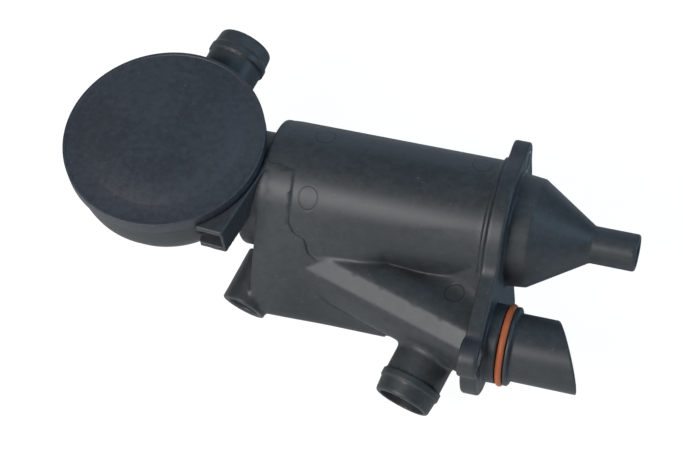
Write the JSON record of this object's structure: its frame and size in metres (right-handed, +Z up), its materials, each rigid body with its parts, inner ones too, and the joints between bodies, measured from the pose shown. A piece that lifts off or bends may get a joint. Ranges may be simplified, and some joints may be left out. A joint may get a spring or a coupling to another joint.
{
  "type": "oil catch can",
  "caption": "Crankcase oil separator in black plastic: a round barrel with a drain cone, a slanting channel to a sealed port, two hose nipples and a round diaphragm valve with a flat cap.",
  "frame": {"origin": "centre of the end cover's outer flange face, on the separator barrel's axis", "axes": "+X along the barrel's axis, out through the drain cone; +Z up, out of the valve cap; +Y across, towards the upper hose nipple"},
  "size_m": [0.2041, 0.1166, 0.0784],
  "materials": {
    "housing_plastic": "moulded satin black, glass-filled",
    "cap_plastic": "moulded satin black",
    "plate_plastic": "moulded satin black",
    "ring_rubber": "smooth orange rubber",
    "black_rubber": "smooth black rubber",
    "steel": "rolled steel"
  },
  "bodies": {
    "housing": {"separator_housing": "housing_plastic", "end_cover": "housing_plastic", "port_ring": "ring_rubber", "sleeve_upper": "steel", "sleeve_lower": "steel", "sleeve_bottom": "steel", "valve_housing": "housing_plastic", "valve_cap": "cap_plastic", "diaphragm": "black_rubber", "valve_spring": "steel"},
    "valve": {"diaphragm_plate": "plate_plastic", "valve_pad": "black_rubber"}
  },
  "joints": [
    {"name": "valve_slide", "type": "slide", "parent": "housing", "child": "valve", "axis": [0, 0, 1], "range_m": [-0.0039, 0], "stiffness_N_per_m": 200, "springref_m": 0.002, "deforming": ["diaphragm", "valve_spring"]}
  ]
}
